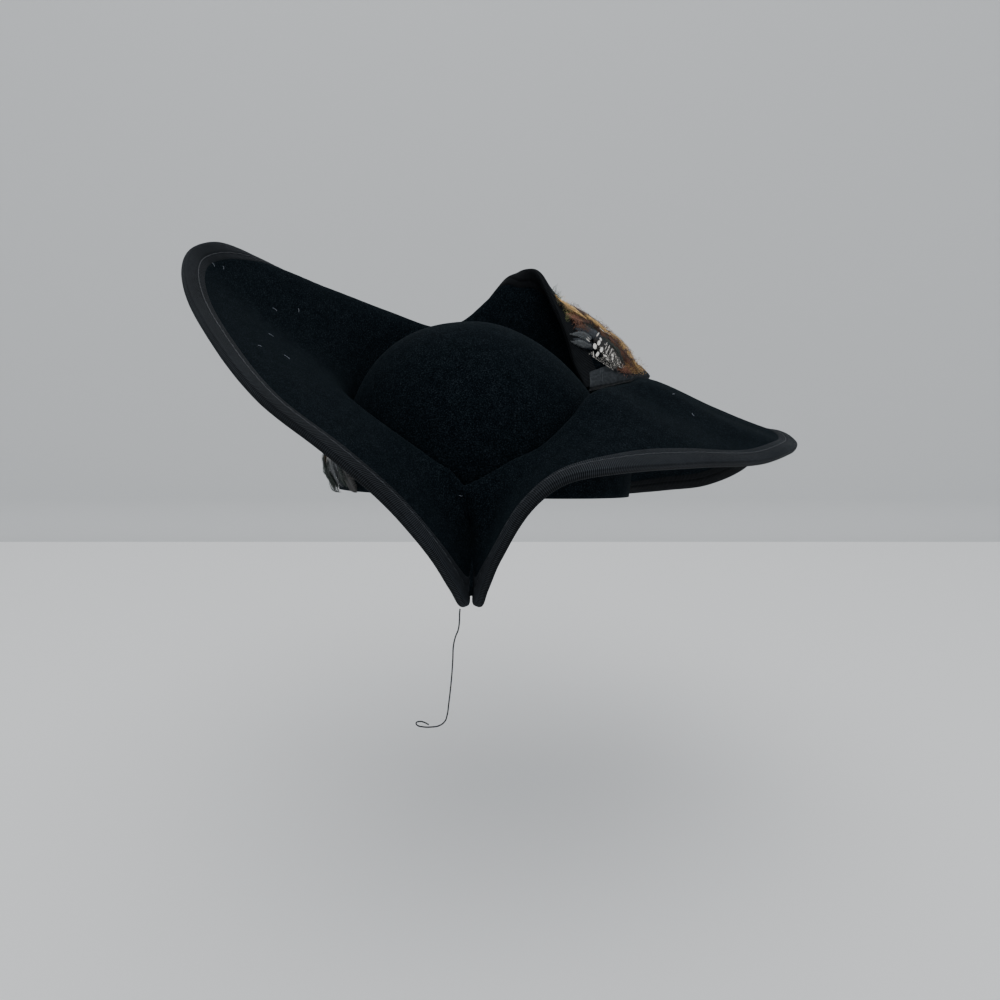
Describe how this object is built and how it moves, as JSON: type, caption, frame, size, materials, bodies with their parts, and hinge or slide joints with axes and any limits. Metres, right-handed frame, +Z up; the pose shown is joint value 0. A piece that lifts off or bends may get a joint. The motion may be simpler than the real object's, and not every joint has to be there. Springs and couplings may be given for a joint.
{
  "type": "tilt hat",
  "caption": "Sculpted black felt tilt hat: round crown, wide uneven brim with a pinched fold, a peak and a folded flap, ribbon-bound edge, feather trim and a hanging cord.",
  "frame": {"origin": "middle of the head opening, level with the middle of its tilted rim", "axes": "+X towards the wearer's back, -Y towards the side with the pinched fold, +Z up"},
  "size_m": [0.3734, 0.2447, 0.2494],
  "materials": {
    "felt": "matte wool felt",
    "ribbon": "ribbed grosgrain",
    "feather_gold": "soft barbed feather",
    "feather_dark": "soft barbed feather",
    "cord": "twisted thread"
  },
  "bodies": {
    "root": {"crown": "felt", "brim": "felt", "binding_tail": "ribbon", "binding_front": "ribbon", "binding_flap": "ribbon", "feather_pad": "feather_gold", "feather_sweep": "feather_dark", "feather_front": "feather_dark", "cord": "cord"}
  },
  "joints": []
}
